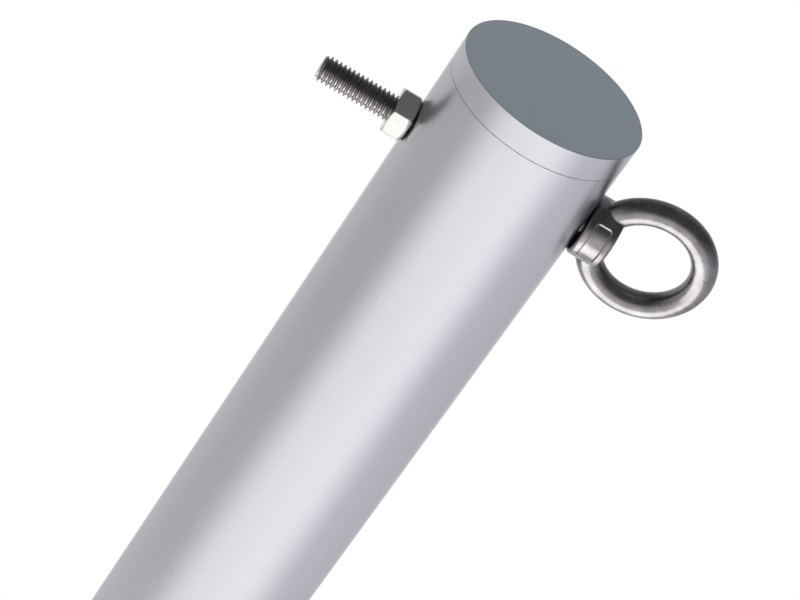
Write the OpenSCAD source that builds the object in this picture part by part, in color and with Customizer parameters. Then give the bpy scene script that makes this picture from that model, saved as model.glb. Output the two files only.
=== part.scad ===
// Shade sail post: a round aluminium tube with a flush end cap and an eye bolt clamped
// through it near the top. The corner of a shade sail is hooked to the eye.
// Millimetres. The origin is at ground level on the tube's axis, +Z is up and the eye
// points along +X, towards the sail.

/* [Post] */
// Height of the post, from the ground to the top of its cap
post_height = 2500; // [1500:10:4000]
// Outside diameter of the tube
tube_diameter = 70; // [50:1:120]
// Wall thickness of the tube
tube_wall = 3; // [2:0.5:6]
// Bevel that breaks the turned edges of the tube and the cap
edge_bevel = 0.15; // [0.05:0.05:1]

/* [Cap] */
// Height of the cap's band, which shows above the end of the tube
cap_band = 10; // [6:0.5:30]
// Thickness of the cap's top plate
cap_plate = 4; // [2:0.5:6]
// Length of the spigot that holds the cap inside the tube
spigot_length = 18; // [8:1:40]
// Wall thickness of the spigot and the band
spigot_wall = 3; // [2:0.5:6]
// Radial gap between the spigot and the tube, filled with adhesive
spigot_gap = 0.1; // [0.05:0.05:0.5]

/* [Bolt] */
// Distance from the top of the cap down to the bolt's axis
bolt_drop = 39; // [33:0.5:150]
// Outside diameter of the thread
thread_diameter = 10; // [8:0.5:20]
// Pitch of the thread
thread_pitch = 1.75; // [1:0.25:2.5]
// Length of the thread, measured from the bolt's end
thread_length = 62; // [45:1:90]
// How far the bolt's end stands out of the tube on the nut's side
bolt_reach = 36.5; // [25:0.5:60]
// How much wider the drilled hole is than the thread
hole_allowance = 1; // [0.5:0.5:3]

/* [Eye] */
// Inside diameter of the eye
eye_diameter = 31.4; // [20:0.2:60]
// Diameter of the ring's round bar
bar_diameter = 9.7; // [6:0.1:20]
// Diameter of the collar that bears on the tube
collar_diameter = 24; // [18:0.5:40]
// Radius on the edges of the collar
collar_round = 1.3; // [0.5:0.1:3]
// Metal between the collar's bearing face and the ring's bar
collar_base = 0.9; // [0.5:0.1:6]
// How far the collar's outer face stands past the inner edge of the ring
eye_flat = 1.3; // [0.5:0.1:4]
// Turn of the eye about the bolt's axis, away from upright
eye_turn = 8; // [-30:1:30]
// Width of the sunk panel on each flat side of the collar, along the bolt
panel_width = 6.5; // [4:0.5:9]
// Length of the sunk panel, across the bolt
panel_length = 15.5; // [8:0.5:17]
// Corner radius of the sunk panel
panel_corner = 1.3; // [0.5:0.1:2]
// Turn of the sunk panels about the bolt's axis, away from square to the ring
panel_turn = -8; // [-15:1:15]
// Depth of the sunk panel
panel_depth = 0.7; // [0.3:0.1:1.2]

/* [Nut] */
// Width of the nut across its flats
nut_flats = 17; // [13:0.5:32]
// Height of the nut
nut_height = 8; // [5:0.5:18]
// Turn of the nut, away from a corner pointing straight up
nut_turn = -3; // [-30:1:30]
// Radial gap between the threads of the nut and the bolt
thread_gap = 0.1; // [0.05:0.05:0.3]

/* [Hidden] */
$fn = 96;
past = 1; // how far a cutting tool runs past the face that it cuts

tube_radius = tube_diameter / 2;
bore_radius = tube_radius - tube_wall;
tube_top = post_height - cap_band;
bolt_height = post_height - bolt_drop;
hole_diameter = thread_diameter + hole_allowance;

bar_radius = bar_diameter / 2;
ring_radius = eye_diameter / 2 + bar_radius;
collar_height = collar_base + bar_diameter + eye_flat;
eye_reach = tube_radius + collar_height - eye_flat + eye_diameter / 2;
collar_radius = collar_diameter / 2;
panel_floor = collar_radius - panel_depth;

// ISO metric thread form, as fractions of the pitch.
thread_radius = thread_diameter / 2;
thread_depth = 0.6134 * thread_pitch;
crest_flat = thread_pitch / 8;
root_flat = thread_pitch / 4;
flank_run = (thread_pitch - crest_flat - root_flat) / 2;
bolt_end = tube_radius + bolt_reach;
nut_corner_radius = nut_flats / 2 / cos(30);
nut_face_radius = 0.95 * nut_flats / 2;
nut_chamfer = (nut_corner_radius - nut_face_radius) * tan(30);

aluminium = [0.75, 0.76, 0.79];
cap_grey = [0.47, 0.50, 0.53];
stainless = [0.45, 0.43, 0.42];
polished = [0.80, 0.81, 0.80];

// Turns what is drawn along +Z so that it runs along -X from the tube's axis, at the bolt's height.
module on_bolt_axis() {
    translate([0, 0, bolt_height]) rotate([0, -90, 0]) children();
}

// The hole drilled for the bolt through both walls of the tube.
module bolt_hole() {
    on_bolt_axis() translate([0, 0, -tube_diameter])
        cylinder(d = hole_diameter, h = 2 * tube_diameter);
}

// Half of a turned section: a ridged rod from start to end, with its crests one pitch apart
// and counted back from the bolt's end. grow widens it all round.
function ridge_points(start, end, grow) =
    let (count = floor((end - start) / thread_pitch), crest = thread_radius + grow,
         root = thread_radius - thread_depth + grow)
    concat([[0, end - count * thread_pitch]],
           [for (i = [count:-1:1])
               let (low = end - i * thread_pitch)
               each [[root, low], [root, low + root_flat / 2],
                     [crest, low + root_flat / 2 + flank_run],
                     [crest, low + root_flat / 2 + flank_run + crest_flat],
                     [root, low + thread_pitch - root_flat / 2]]],
           [[root, end], [0, end]]);

module ridged_rod(start, end, grow = 0) {
    rotate_extrude() polygon(ridge_points(start, end, grow));
}

// The tube, cut square at the ground and at the seam under the cap.
module mast_tube() {
    color(aluminium) difference() {
        rotate_extrude() polygon([
            [bore_radius, 0],
            [tube_radius - edge_bevel, 0],
            [tube_radius, edge_bevel],
            [tube_radius, tube_top - edge_bevel],
            [tube_radius - edge_bevel, tube_top],
            [bore_radius, tube_top]]);
        bolt_hole();
    }
}

// A turned cap: a plate and a band flush with the tube, and a spigot glued inside it.
module end_cap() {
    spigot_radius = bore_radius - spigot_gap;
    color(cap_grey) difference() {
        rotate_extrude() polygon([
            [0, post_height - cap_plate],
            [spigot_radius - spigot_wall, post_height - cap_plate],
            [spigot_radius - spigot_wall, tube_top - spigot_length],
            [spigot_radius - edge_bevel, tube_top - spigot_length],
            [spigot_radius, tube_top - spigot_length + edge_bevel],
            [spigot_radius, tube_top],
            [tube_radius - edge_bevel, tube_top],
            [tube_radius, tube_top + edge_bevel],
            [tube_radius, post_height - edge_bevel],
            [tube_radius - edge_bevel, post_height],
            [0, post_height]]);
        bolt_hole();
    }
}

// A round-cornered bar along Y that sinks the panel into both sides of the collar.
module panel_outline() {
    half_width = panel_width / 2 - panel_corner;
    half_length = panel_length / 2 - panel_corner;
    reach = collar_diameter + 2 * past;
    rotate([90, 0, 0]) translate([0, 0, -reach / 2]) {
        for (x = [-1, 1], z = [-1, 1]) translate([x * half_length, z * half_width])
            cylinder(r = panel_corner, h = reach);
        translate([-half_length, -panel_width / 2]) cube([2 * half_length, panel_width, reach]);
        translate([-panel_length / 2, -half_width]) cube([panel_length, 2 * half_width, reach]);
    }
}

// The collar, drawn with its bearing face down and its axis along Z.
module collar() {
    difference() {
        rotate_extrude() union() {
            square([collar_radius - collar_round, collar_height]);
            translate([0, collar_round]) square([collar_radius, collar_height - 2 * collar_round]);
            for (z = [collar_round, collar_height - collar_round])
                translate([collar_radius - collar_round, z]) circle(r = collar_round);
        }
        difference() {
            translate([0, 0, collar_height / 2]) rotate([0, 0, panel_turn]) panel_outline();
            translate([0, 0, -past]) cylinder(r = panel_floor, h = collar_height + 2 * past);
        }
    }
}

// The eye bolt is one forging: ring, collar and shank, with the thread on the shank's far end.
module eye_bolt() {
    thread_start = bolt_end - thread_length;
    shank_radius = thread_radius - thread_depth / 2;
    color(stainless) translate([0, 0, bolt_height]) rotate([eye_turn, 0, 0]) {
        translate([eye_reach, 0, 0]) rotate([90, 0, 0])
            rotate_extrude() translate([ring_radius, 0]) circle(r = bar_radius);
        translate([tube_radius, 0, 0]) rotate([0, 90, 0]) collar();
        rotate([0, -90, 0]) {
            translate([0, 0, -tube_radius - past])
                cylinder(r = shank_radius, h = tube_radius + past + thread_start + thread_pitch);
            intersection() {
                ridged_rod(thread_start, bolt_end);
                translate([0, 0, thread_start - past])
                    cylinder(r1 = thread_radius + thread_length + past, r2 = thread_radius - thread_depth,
                             h = thread_length + past);
            }
        }
    }
}

// The hexagon nut, chamfered on both faces and tightened against the tube.
module hex_nut() {
    color(polished) on_bolt_axis() difference() {
        translate([0, 0, tube_radius]) rotate([0, 0, nut_turn]) intersection() {
            cylinder(r = nut_corner_radius, h = nut_height, $fn = 6);
            rotate_extrude() polygon([
                [0, 0],
                [nut_face_radius, 0],
                [nut_corner_radius, nut_chamfer],
                [nut_corner_radius, nut_height - nut_chamfer],
                [nut_face_radius, nut_height],
                [0, nut_height]]);
        }
        ridged_rod(tube_radius - 2 * thread_pitch, bolt_end, thread_gap);
        for (face = [0, 1]) translate([0, 0, tube_radius + face * nut_height]) mirror([0, 0, face])
            translate([0, 0, -past])
                cylinder(r1 = thread_radius + thread_gap + past, r2 = thread_radius - thread_depth,
                         h = past + thread_depth + thread_gap);
    }
}

mast_tube();
end_cap();
eye_bolt();
hex_nut();
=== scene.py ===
"""Shade sail post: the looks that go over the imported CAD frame. Metres, in the frame's own axes."""
import math

import bmesh
import bpy
from mathutils import Matrix, Vector


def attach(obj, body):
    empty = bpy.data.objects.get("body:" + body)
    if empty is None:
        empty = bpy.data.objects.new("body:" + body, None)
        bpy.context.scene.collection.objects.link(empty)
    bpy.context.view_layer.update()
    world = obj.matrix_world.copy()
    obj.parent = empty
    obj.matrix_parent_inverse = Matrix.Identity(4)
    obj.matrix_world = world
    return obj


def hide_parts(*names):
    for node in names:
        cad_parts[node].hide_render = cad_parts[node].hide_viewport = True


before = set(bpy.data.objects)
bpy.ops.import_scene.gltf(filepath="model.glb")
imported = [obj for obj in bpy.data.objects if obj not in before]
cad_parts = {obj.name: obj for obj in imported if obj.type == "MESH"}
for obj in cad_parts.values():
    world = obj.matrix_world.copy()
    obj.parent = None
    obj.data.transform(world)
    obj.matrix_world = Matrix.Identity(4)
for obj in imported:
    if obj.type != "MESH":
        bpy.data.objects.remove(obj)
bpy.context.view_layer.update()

# ---------------------------------------------------------------- sizes, in metres, as the CAD has them
BOLT_HEIGHT = 2.461
TUBE_RADIUS = 0.035
THREAD_RADIUS, THREAD_PITCH = 0.005, 0.00175
THREAD_DEPTH = 0.6134 * THREAD_PITCH
THREAD_LENGTH = 0.062
BOLT_END = TUBE_RADIUS + 0.0365
BAR_RADIUS = 0.00485
EYE_RADIUS = 0.0157
RING_RADIUS = EYE_RADIUS + BAR_RADIUS
COLLAR_RADIUS, COLLAR_ROUND = 0.012, 0.0013
COLLAR_BASE, EYE_FLAT = 0.0009, 0.0013
COLLAR_HEIGHT = COLLAR_BASE + 2 * BAR_RADIUS + EYE_FLAT
EYE_REACH = TUBE_RADIUS + COLLAR_HEIGHT - EYE_FLAT + EYE_RADIUS
EYE_TURN = math.radians(8)
PANEL_WIDTH, PANEL_LENGTH, PANEL_CORNER, PANEL_DEPTH = 0.0065, 0.0155, 0.0013, 0.0007
NUT_FLATS, NUT_HEIGHT = 0.017, 0.008
NUT_TURN = math.radians(-3)

# ---------------------------------------------------------------- camera
AIM = Vector((-0.0023, 0.0, 2.3950))                 # point on the post that the lens looks at
AZIMUTH, ELEVATION, ROLL = -8.592, 31.914, 34.763    # degrees
DISTANCE = 1.0130
LENS = 126.55                                        # mm, on a 36 mm sensor


def add_camera():
    az, el = math.radians(AZIMUTH), math.radians(ELEVATION)
    back = Vector((math.sin(az) * math.cos(el), -math.cos(az) * math.cos(el), math.sin(el)))
    right = Vector((-back.y, back.x, 0.0)).normalized()
    up = back.cross(right)
    turn = Matrix((right, up, back)).transposed() @ Matrix.Rotation(math.radians(ROLL), 3, "Z")
    data = bpy.data.cameras.new("camera")
    data.lens = LENS
    camera = bpy.data.objects.new("camera", data)
    camera.matrix_world = Matrix.Translation(AIM + back * DISTANCE) @ turn.to_4x4()
    bpy.context.collection.objects.link(camera)
    bpy.context.scene.camera = camera


# ---------------------------------------------------------------- material helpers
class Graph:
    """One node material around a Principled shader. Constants go straight on the shader's sockets."""

    def __init__(self, name, **sockets):
        self.material = bpy.data.materials.new(name)
        self.material.use_nodes = True
        self.tree = self.material.node_tree
        self.shader = self.tree.nodes["Principled BSDF"]
        for socket, value in sockets.items():
            self.shader.inputs[socket.replace("_", " ")].default_value = value

    def feed(self, socket, value):
        if isinstance(value, bpy.types.NodeSocket):
            self.tree.links.new(value, socket)
        else:
            socket.default_value = value

    def node(self, kind, **inputs):
        node = self.tree.nodes.new("ShaderNode" + kind)
        for name, value in inputs.items():
            self.feed(node.inputs[name.replace("_", " ")], value)
        return node

    def point(self, x=1.0, y=1.0, z=1.0):
        coordinates = self.node("TexCoord").outputs["Object"]
        return self.node("Mapping", Vector=coordinates, Scale=(x, y, z)).outputs["Vector"]

    def noise(self, point, scale, detail=4.0, roughness=0.5):
        return self.node("TexNoise", Vector=point, Scale=scale, Detail=detail,
                         Roughness=roughness).outputs["Fac"]

    def ramp(self, factor, *stops):
        node = self.node("ValToRGB", Fac=factor)
        elements = node.color_ramp.elements
        while len(elements) < len(stops):
            elements.new(0.5)
        for element, (place, colour) in zip(elements, stops):
            element.position = place
            element.color = (*colour, 1.0)
        return node.outputs["Color"]

    def span(self, factor, low, high, start=0.3, end=0.7):
        return self.node("MapRange", Value=factor, From_Min=start, From_Max=end,
                         To_Min=low, To_Max=high).outputs["Result"]

    def math(self, operation, a, b):
        node = self.tree.nodes.new("ShaderNodeMath")
        node.operation = operation
        self.feed(node.inputs[0], a)
        self.feed(node.inputs[1], b)
        return node.outputs["Value"]

    def blend(self, factor, first, second):
        """One colour where factor is 0 and the other where it is 1."""
        node = self.tree.nodes.new("ShaderNodeMix")
        node.data_type = "RGBA"
        sockets = {socket.identifier: socket for socket in node.inputs}
        for name, value in (("Factor_Float", factor), ("A_Color", first), ("B_Color", second)):
            self.feed(sockets[name], value)
        return next(socket for socket in node.outputs if socket.identifier == "Result_Color")

    def bump(self, height, distance):
        self.feed(self.shader.inputs["Normal"],
                  self.node("Bump", Height=height, Distance=distance).outputs["Normal"])

    def into(self, name, value):
        self.feed(self.shader.inputs[name], value)


TUBE_TONES = ((0.645, 0.645, 0.665), (0.685, 0.684, 0.700))


def tube_material():
    """Satin anodised tube: fine lines along its length from drawing, and a faint cloudy tone."""
    g = Graph("satin_anodised_tube", Metallic=1.0)
    lines = g.noise(g.point(z=0.012), 2200.0, 3.0, 0.6)
    cloud = g.noise(g.point(z=0.25), 22.0, 3.0)
    g.into("Base Color", g.ramp(cloud, (0.3, TUBE_TONES[0]), (0.7, TUBE_TONES[1])))
    g.into("Roughness", g.math("ADD", g.span(lines, 0.27, 0.35), g.span(cloud, -0.02, 0.02)))
    g.bump(lines, 0.000004)
    return g.material


def cap_material():
    """Turned cap: very fine rings on its matt top face, which is tinted blue-green as a painted reflection,
    and a satin band like the tube's wall.
    """
    g = Graph("turned_cap", Metallic=1.0)
    rings = g.tree.nodes.new("ShaderNodeTexWave")
    rings.wave_type = "RINGS"
    rings.rings_direction = "Z"
    g.feed(rings.inputs["Vector"], g.point())
    rings.inputs["Scale"].default_value = 900.0
    rings.inputs["Distortion"].default_value = 1.5
    lines = g.noise(g.point(z=0.012), 2200.0, 3.0, 0.6)
    cloud = g.noise(g.point(), 35.0, 3.0)
    up = g.node("SeparateXYZ", Vector=g.node("TexCoord").outputs["Normal"]).outputs["Z"]
    top = g.span(up, 0.0, 1.0, 0.55, 0.85)
    # Painted reflection: faces whose normal points up get a bluer, greener base colour than the band,
    # standing in for the bluish wall the top reflects.
    g.into("Base Color", g.blend(top, g.ramp(cloud, (0.3, TUBE_TONES[0]), (0.7, TUBE_TONES[1])),
                                 g.ramp(cloud, (0.3, (0.600, 0.665, 0.690)), (0.7, (0.630, 0.700, 0.720)))))
    band = g.math("ADD", g.span(lines, 0.27, 0.35), g.span(cloud, -0.02, 0.02))
    face = g.math("ADD", g.span(rings.outputs["Fac"], 0.34, 0.38, 0.0, 1.0), g.span(cloud, -0.03, 0.03))
    g.into("Roughness", g.math("ADD", g.math("MULTIPLY", band, g.math("SUBTRACT", 1.0, top)),
                               g.math("MULTIPLY", face, top)))
    g.bump(g.math("ADD", g.math("MULTIPLY", lines, g.math("SUBTRACT", 1.0, top)),
                  g.math("MULTIPLY", rings.outputs["Fac"], g.math("MULTIPLY", top, 0.5))), 0.000004)
    return g.material


def forged_material():
    """Tumbled stainless forging: brownish patches, fine pits and scuffs."""
    g = Graph("tumbled_stainless", Metallic=1.0)
    patches = g.noise(g.point(), 170.0, 5.0, 0.6)
    grain = g.noise(g.point(), 2600.0, 3.0, 0.6)
    pits = g.noise(g.point(), 900.0, 2.0, 0.4)
    g.into("Base Color", g.ramp(patches, (0.34, (0.215, 0.203, 0.203)), (0.66, (0.320, 0.304, 0.310))))
    g.into("Roughness", g.math("ADD", g.span(patches, 0.20, 0.30), g.span(grain, -0.03, 0.04)))
    height = g.math("ADD", g.span(grain, 0.0, 0.35), g.span(pits, 0.0, 1.0, 0.30, 0.42))
    g.bump(height, 0.000012)
    return g.material


def thread_material():
    g = Graph("rolled_thread", Metallic=1.0)
    patches = g.noise(g.point(), 500.0, 4.0, 0.6)
    g.into("Base Color", g.ramp(patches, (0.34, (0.26, 0.245, 0.24)), (0.66, (0.38, 0.36, 0.355))))
    g.into("Roughness", g.span(patches, 0.26, 0.36))
    g.bump(patches, 0.000004)
    return g.material


def nut_material():
    g = Graph("bright_nut", Metallic=1.0)
    patches = g.noise(g.point(), 300.0, 4.0, 0.5)
    lines = g.noise(g.point(x=0.04), 2500.0, 2.0)
    g.into("Base Color", g.ramp(patches, (0.34, (0.755, 0.785, 0.730)), (0.66, (0.815, 0.845, 0.790))))
    g.into("Roughness", g.math("ADD", g.span(patches, 0.10, 0.16), g.span(lines, -0.01, 0.03)))
    g.bump(lines, 0.000004)
    return g.material


# ---------------------------------------------------------------- mesh helpers
def finish_piece(name, bm, material, nodes):
    """Makes a piece of bm, already in its place on the post, that stands for the CAD nodes named."""
    mesh = bpy.data.meshes.new(name)
    bm.normal_update()
    bm.to_mesh(mesh)
    bm.free()
    mesh.materials.append(material)
    piece = bpy.data.objects.new(name, mesh)
    bpy.context.collection.objects.link(piece)
    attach(piece, "root")
    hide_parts(*nodes)
    return piece


def lathe(profile, segments, bm=None):
    """A closed or open turned surface from (radius, height) points about Z."""
    bm = bm or bmesh.new()
    rings = []
    for radius, height in profile:
        if radius < 1e-9:
            rings.append([bm.verts.new((0.0, 0.0, height))])
        else:
            rings.append([bm.verts.new((radius * math.cos(2 * math.pi * i / segments),
                                        radius * math.sin(2 * math.pi * i / segments), height))
                          for i in range(segments)])
    for low, high in zip(rings, rings[1:]):
        for i in range(segments):
            j = (i + 1) % segments
            corners = [low[i % len(low)], low[j % len(low)], high[j % len(high)], high[i % len(high)]]
            corners = list(dict.fromkeys(corners))
            if len(corners) > 2:
                bm.faces.new(corners)
    return bm


def arc(centre_radius, centre_height, radius, start, end, steps):
    return [(centre_radius + radius * math.cos(math.radians(start + (end - start) * i / steps)),
             centre_height + radius * math.sin(math.radians(start + (end - start) * i / steps)))
            for i in range(steps + 1)]


CREST_FLAT, FLANK_SHARE = 0.14, 0.60     # shares of half a pitch, counted from the middle of the crest
FLANK_ROUNDING = 0.35                    # 0 for straight flanks, 1 for an S-shaped one


def thread_height(phase):
    """Radial depth below the crest of the rounded thread form, for a phase from 0 to 1."""
    from_crest = abs((phase % 1.0) - 0.5) * 2.0
    flank = min(max((from_crest - CREST_FLAT) / FLANK_SHARE, 0.0), 1.0)
    s_curve = flank * flank * (3 - 2 * flank)
    return THREAD_DEPTH * (s_curve * FLANK_ROUNDING + flank * (1 - FLANK_ROUNDING))


def helix_surface(bm, start, end, radius_at, segments=72, per_pitch=14):
    """A threaded rod's skin from start to end along Z, left open at both ends."""
    steps = round((end - start) / THREAD_PITCH * per_pitch)
    rows = []
    for k in range(steps + 1):
        z = start + (end - start) * k / steps
        row = []
        for i in range(segments):
            turn = i / segments
            radius = radius_at(z, (z / THREAD_PITCH - turn))
            angle = 2 * math.pi * turn
            row.append(bm.verts.new((radius * math.cos(angle), radius * math.sin(angle), z)))
        rows.append(row)
    for low, high in zip(rows, rows[1:]):
        for i in range(segments):
            j = (i + 1) % segments
            bm.faces.new((low[i], low[j], high[j], high[i]))
    return rows


def smooth_by_angle(piece, degrees):
    for polygon in piece.data.polygons:
        polygon.use_smooth = True
    piece.data.set_sharp_from_angle(angle=math.radians(degrees))


ON_BOLT = Matrix.Translation((0, 0, BOLT_HEIGHT)) @ Matrix.Rotation(math.radians(-90), 4, "Y")
ON_EYE = (Matrix.Translation((0, 0, BOLT_HEIGHT)) @ Matrix.Rotation(EYE_TURN, 4, "X"))


def bolt_shank():
    """The plain shank and the true helical thread, chamfered at its end, with its runout."""
    plain = THREAD_RADIUS - THREAD_DEPTH / 2
    start, end = BOLT_END - THREAD_LENGTH, BOLT_END
    chamfer, chamfer_slope = THREAD_DEPTH * 1.05, 0.9
    runout = THREAD_PITCH * 1.5
    into_collar, into_thread = 0.002, 0.0004         # how far the plain shank runs on inside its neighbours

    def radius_at(z, phase):
        radius = THREAD_RADIUS - thread_height(phase)
        fade = min(max((z - start) / runout, 0.0), 1.0)
        radius = plain + (radius - plain) * fade
        return min(radius, THREAD_RADIUS - chamfer + max(end - z, 0.0) * chamfer_slope)

    bm = bmesh.new()
    rows = helix_surface(bm, start, end, radius_at)
    for row, centre in ((rows[0], start), (rows[-1], end)):
        middle = bm.verts.new((0, 0, centre))
        for i in range(len(row)):
            pair = (row[i], row[(i + 1) % len(row)])
            bm.faces.new((pair[1], pair[0], middle) if centre == start else (pair[0], pair[1], middle))
    low, high = -TUBE_RADIUS - into_collar, start + into_thread
    lathe([(0, low), (plain, low), (plain, high), (0, high)], 72, bm)
    bmesh.ops.recalc_face_normals(bm, faces=bm.faces)
    bm.transform(ON_BOLT)
    piece = finish_piece("bolt_thread", bm, thread_material(), ["eye_bolt"])
    smooth_by_angle(piece, 50)
    return piece


PANEL_WALL = 0.00035             # width of the panel's soft wall
VOXEL = 0.00027                  # grid on which ring and collar are fused


def panel_depth_at(across, along):
    """How far the sunk panel lies below the collar here: 0 outside, PANEL_DEPTH inside, with soft walls."""
    dx = max(abs(across) - (PANEL_LENGTH / 2 - PANEL_CORNER), 0.0)
    dz = max(abs(along) - (PANEL_WIDTH / 2 - PANEL_CORNER), 0.0)
    inside = PANEL_CORNER - math.hypot(dx, dz)
    wall = min(max((inside + PANEL_WALL / 7) / PANEL_WALL, 0.0), 1.0)
    return PANEL_DEPTH * wall * wall * (3 - 2 * wall)


def ring_surface(major=192, minor=64):
    """The eye's ring: a torus about Y, with its centre EYE_REACH along X."""
    bm = bmesh.new()
    grid = []
    for a in range(major):
        u = 2 * math.pi * a / major
        section = []
        for b in range(minor):
            v = 2 * math.pi * b / minor
            reach = RING_RADIUS + BAR_RADIUS * math.cos(v)
            section.append(bm.verts.new((EYE_REACH + reach * math.cos(u), BAR_RADIUS * math.sin(v),
                                         reach * math.sin(u))))
        grid.append(section)
    for a, section in enumerate(grid):
        following = grid[(a + 1) % major]
        for b in range(minor):
            c = (b + 1) % minor
            bm.faces.new((section[b], following[b], following[c], section[c]))
    return bm


def add_collar(bm):
    """Adds the collar, a round-edged disc that bears on the tube, to bm."""
    inner = COLLAR_RADIUS - COLLAR_ROUND
    profile = [(0, 0)] + arc(inner, COLLAR_ROUND, COLLAR_ROUND, -90, 0, 6)
    profile += arc(inner, COLLAR_HEIGHT - COLLAR_ROUND, COLLAR_ROUND, 0, 90, 6) + [(0, COLLAR_HEIGHT)]
    collar = lathe(profile, 160)
    collar.transform(Matrix.Translation((TUBE_RADIUS, 0, 0)) @ Matrix.Rotation(math.radians(90), 4, "Y"))
    mesh = bpy.data.meshes.new("collar_part")
    collar.to_mesh(mesh)
    collar.free()
    bm.from_mesh(mesh)
    bpy.data.meshes.remove(mesh)


def eye_forging():
    """Ring and collar as one forging: fused, softened where they meet, then the panels pressed in."""
    bm = ring_surface()
    add_collar(bm)
    bmesh.ops.recalc_face_normals(bm, faces=bm.faces)
    piece = finish_piece("eye_forging", bm, forged_material(), ["eye_bolt"])
    remesh = piece.modifiers.new("fuse", "REMESH")
    remesh.mode = "VOXEL"
    remesh.voxel_size = VOXEL
    soften = piece.modifiers.new("soften", "SMOOTH")
    soften.factor = 0.5
    soften.iterations = 10
    apply_modifiers(piece)
    press_panels(piece.data)
    piece.data.transform(ON_EYE)
    smooth_by_angle(piece, 180)
    return piece


def apply_modifiers(piece):
    graph = bpy.context.evaluated_depsgraph_get()
    mesh = bpy.data.meshes.new_from_object(piece.evaluated_get(graph))
    piece.modifiers.clear()
    piece.data = mesh


def press_panels(mesh):
    """Sinks a bare panel into both sides of the collar, square to the post and not to the ring."""
    middle = TUBE_RADIUS + COLLAR_HEIGHT / 2
    cos_turn, sin_turn = math.cos(EYE_TURN), math.sin(EYE_TURN)
    for vertex in mesh.vertices:
        x, y, z = vertex.co
        radius = math.hypot(y, z)
        on_wall = COLLAR_RADIUS * 0.9 <= radius <= COLLAR_RADIUS * 1.02
        if abs(x - middle) > COLLAR_HEIGHT / 2 or not on_wall:
            continue
        depth = panel_depth_at(z * cos_turn + y * sin_turn, x - middle)
        sideways = abs(y * cos_turn - z * sin_turn) / radius
        if sideways > 0.5 and depth > 0:
            share = (radius - depth) / radius
            vertex.co = (x, y * share, z * share)


# Each end of the nut: share of the flats that its face reaches, rise of its chamfer, and edge softening.
TUBE_END = (0.91, 0.72, 0.00035)
OUTER_END = (0.955, 0.50, 0.00020)
CORNER_EASE = 0.17               # share of a corner's extra reach that is worn off
NUT_GAP = 0.0001                 # between the threads of the nut and the bolt
NUT_MOUTH = 0.0009               # depth of the countersink at the ends of the thread


def hex_nut():
    """A hexagon nut: a broad chamfer towards the tube, a slight one outwards, and softened corners."""
    flat, corner = NUT_FLATS / 2, NUT_FLATS / 2 / math.cos(math.radians(30))
    segments = 240
    bore = THREAD_RADIUS + NUT_GAP
    bm = bmesh.new()

    def side(angle):
        """Distance from the axis to the nut's side, with the six corners eased."""
        from_flat = (angle % (math.pi / 3)) - math.pi / 6
        near_corner = max(0.0, 1.0 - (math.pi / 6 - abs(from_flat)) / 0.10)
        return flat / math.cos(from_flat) - (corner - flat) * CORNER_EASE * near_corner ** 2

    def ring(height_of, radius_of):
        angles = [2 * math.pi * i / segments for i in range(segments)]
        return [bm.verts.new((radius_of(a) * math.cos(a), radius_of(a) * math.sin(a), height_of(a)))
                for a in angles]

    def end_rings(face_share, slope, soft, height_from):
        """Rings from the thread over an end face to the side. height_from makes a depth a height."""
        face_radius = flat * face_share

        def chamfer(angle):
            return (side(angle) - face_radius) * slope

        return [ring(lambda a: height_from(NUT_MOUTH), lambda a: bore - THREAD_DEPTH),
                ring(lambda a: height_from(0.0), lambda a: bore + 0.0002),
                ring(lambda a: height_from(0.0), lambda a: face_radius - soft),
                ring(lambda a: height_from(soft * 0.35), lambda a: face_radius + soft * 0.6),
                ring(lambda a: height_from(chamfer(a) - soft * 0.5), lambda a: side(a) - soft * 0.8),
                ring(lambda a: height_from(chamfer(a) + soft), side)]

    rings = end_rings(*TUBE_END, lambda depth: depth)
    rings += [ring(lambda a, s=share: NUT_HEIGHT * s, side) for share in (0.35, 0.5, 0.65)]
    rings += end_rings(*OUTER_END, lambda depth: NUT_HEIGHT - depth)[::-1]
    rings.append(rings[0])
    for low, high in zip(rings, rings[1:]):
        for i in range(segments):
            j = (i + 1) % segments
            bm.faces.new((low[i], low[j], high[j], high[i]))
    bmesh.ops.recalc_face_normals(bm, faces=bm.faces)
    bm.transform(ON_BOLT @ Matrix.Translation((0, 0, TUBE_RADIUS)) @ Matrix.Rotation(NUT_TURN, 4, "Z"))
    piece = finish_piece("hex_nut_body", bm, nut_material(), ["hex_nut"])
    smooth_by_angle(piece, 25)
    return piece


# ---------------------------------------------------------------- stage and light
def add_lamp(name, place, aim, energy, size, only=None):
    """An area lamp that the camera doesn't see. With only, it shows in those pieces' metal alone."""
    data = bpy.data.lights.new(name, "AREA")
    data.shape = "RECTANGLE"
    data.size, data.size_y = size
    data.energy = energy
    lamp = bpy.data.objects.new(name, data)
    lamp.location = place
    lamp.rotation_euler = (Vector(aim) - Vector(place)).to_track_quat("-Z", "Y").to_euler()
    lamp.visible_camera = False
    lamp.visible_glossy = bool(only)
    if only:
        lit = bpy.data.collections.new(name + "_lit")
        for piece in only:
            lit.objects.link(piece)
        lamp.light_linking.receiver_collection = lit
    bpy.context.collection.objects.link(lamp)


def ray_share(tree, *kinds):
    """1 for rays of any of these kinds, such as camera or glossy, and 0 for the rest."""
    path = tree.nodes.new("ShaderNodeLightPath")
    total = path.outputs[kinds[0]]
    for kind in kinds[1:]:
        either = tree.nodes.new("ShaderNodeMath")
        either.operation = "MAXIMUM"
        tree.links.new(total, either.inputs[0])
        tree.links.new(path.outputs[kind], either.inputs[1])
        total = either.outputs["Value"]
    return total


FLOOR_RADIUS = 2.3
FLOOR_GLOW = 0.62                # what the lamps' light on the floor lacks to look white


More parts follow.
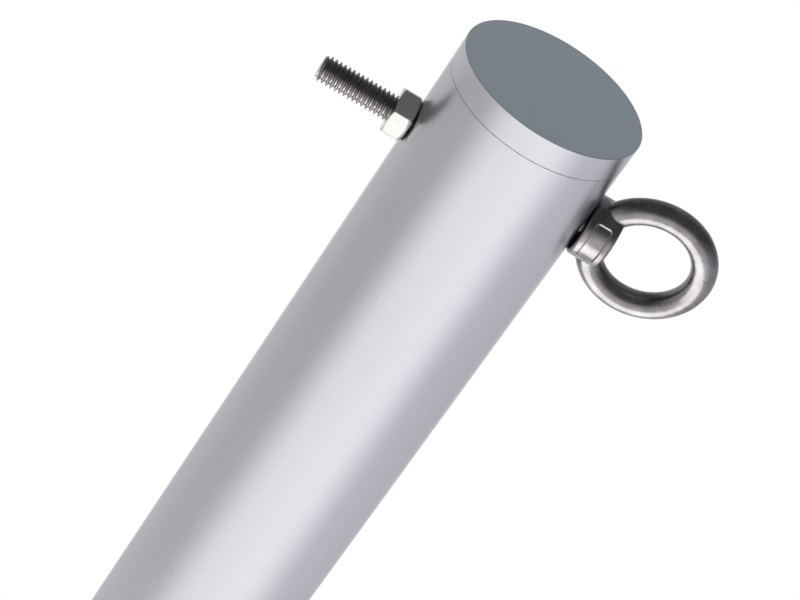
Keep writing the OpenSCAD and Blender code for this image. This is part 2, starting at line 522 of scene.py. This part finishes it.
def add_floor():
    bm = bmesh.new()
    bmesh.ops.create_circle(bm, cap_ends=True, radius=FLOOR_RADIUS, segments=128)
    mesh = bpy.data.meshes.new("floor")
    bm.to_mesh(mesh)
    bm.free()
    floor = bpy.data.objects.new("floor", mesh)
    bpy.context.collection.objects.link(floor)
    material = bpy.data.materials.new("pale_floor")
    material.use_nodes = True
    tree = material.node_tree
    shader = tree.nodes["Principled BSDF"]
    shader.inputs["Base Color"].default_value = (0.8, 0.8, 0.8, 1.0)
    shader.inputs["Roughness"].default_value = 0.9
    shader.inputs["Specular IOR Level"].default_value = 0.0
    shader.inputs["Emission Color"].default_value = (1.0, 1.0, 1.0, 1.0)
    lift = tree.nodes.new("ShaderNodeMath")
    lift.operation = "MULTIPLY"
    lift.inputs[1].default_value = FLOOR_GLOW
    tree.links.new(ray_share(tree, "Is Camera Ray", "Is Glossy Ray", "Is Transmission Ray"), lift.inputs[0])
    tree.links.new(lift.outputs["Value"], shader.inputs["Emission Strength"])
    mesh.materials.append(material)


# The studio that metal reflects: soft light and dark places as directions. Each is (azimuth from -Y
# towards +X, elevation, cosine where it starts, cosine where it is full, colour that it adds).
STUDIO = (
    (4, -30, 0.52, 0.96, (0.62, 0.60, 0.58)),            # the broad highlight down the tube
    (66, -30, 0.45, 1.0, (0.13, 0.13, 0.17)),            # its faint blue flank
    (-170, -30, 0.45, 1.0, (0.11, 0.10, 0.10)),          # light from behind, for the tube's edges
    (0, 90, -0.30, 0.55, (-0.43, -0.43, -0.46)),         # the dark ceiling
    (171, -32, 0.94, 0.985, (0.44, 0.44, 0.41)),         # the white background behind the post
    (171, 32, 0.72, 0.97, (0.16, 0.17, 0.19)),           # the wall that the cap's top reflects
)
STUDIO_BASE = (0.55, 0.555, 0.59)


def set_world():
    """White for the camera and through clear things. Metal reflects the studio, which lights the rest."""
    world = bpy.data.worlds.new("studio")
    bpy.context.scene.world = world
    world.use_nodes = True
    tree = world.node_tree
    background = tree.nodes["Background"]

    def vector_math(operation, *values):
        node = tree.nodes.new("ShaderNodeVectorMath")
        node.operation = operation
        for socket, value in zip(node.inputs, values):
            if isinstance(value, bpy.types.NodeSocket):
                tree.links.new(value, socket)
            else:
                socket.default_value = value
        return node

    direction = tree.nodes.new("ShaderNodeTexCoord").outputs["Generated"]
    studio = STUDIO_BASE
    for azimuth, elevation, start, full, colour in STUDIO:
        az, el = math.radians(azimuth), math.radians(elevation)
        towards = (math.sin(az) * math.cos(el), -math.cos(az) * math.cos(el), math.sin(el))
        lobe = tree.nodes.new("ShaderNodeMapRange")
        lobe.interpolation_type = "SMOOTHSTEP"
        tree.links.new(vector_math("DOT_PRODUCT", direction, towards).outputs["Value"], lobe.inputs["Value"])
        lobe.inputs["From Min"].default_value = start
        lobe.inputs["From Max"].default_value = full
        scaled = vector_math("SCALE", colour)
        tree.links.new(lobe.outputs["Result"], scaled.inputs["Scale"])
        studio = vector_math("ADD", scaled.outputs["Vector"], studio).outputs["Vector"]

    white = ray_share(tree, "Is Camera Ray", "Is Transmission Ray")
    rest = tree.nodes.new("ShaderNodeMath")
    rest.operation = "SUBTRACT"
    rest.inputs[0].default_value = 1.0
    tree.links.new(white, rest.inputs[1])
    seen = vector_math("MULTIPLY_ADD", studio, rest.outputs["Value"], white)    # studio * rest + white
    tree.links.new(seen.outputs["Vector"], background.inputs["Color"])
    background.inputs["Strength"].default_value = 1.0


for node, material in (("mast_tube", tube_material()), ("end_cap", cap_material())):
    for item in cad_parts[node].material_slots:
        item.material = material
hardware = [bolt_shank(), eye_forging(), hex_nut()]

add_camera()
add_floor()
set_world()
add_lamp("key", (0.9, -2.6, 1.1), (0.0, 0.0, 2.3), 28.0, (1.2, 1.2))
add_lamp("overhead", (-1.2, -1.6, 4.2), (0.0, 0.0, 1.0), 60.0, (1.6, 1.6))
add_lamp("low_panel", (0.0, -0.34, 1.82), (0.02, 0.0, 2.46), 4.1, (0.9, 0.62), hardware[:2])

bpy.context.scene.view_settings.view_transform = "Standard"
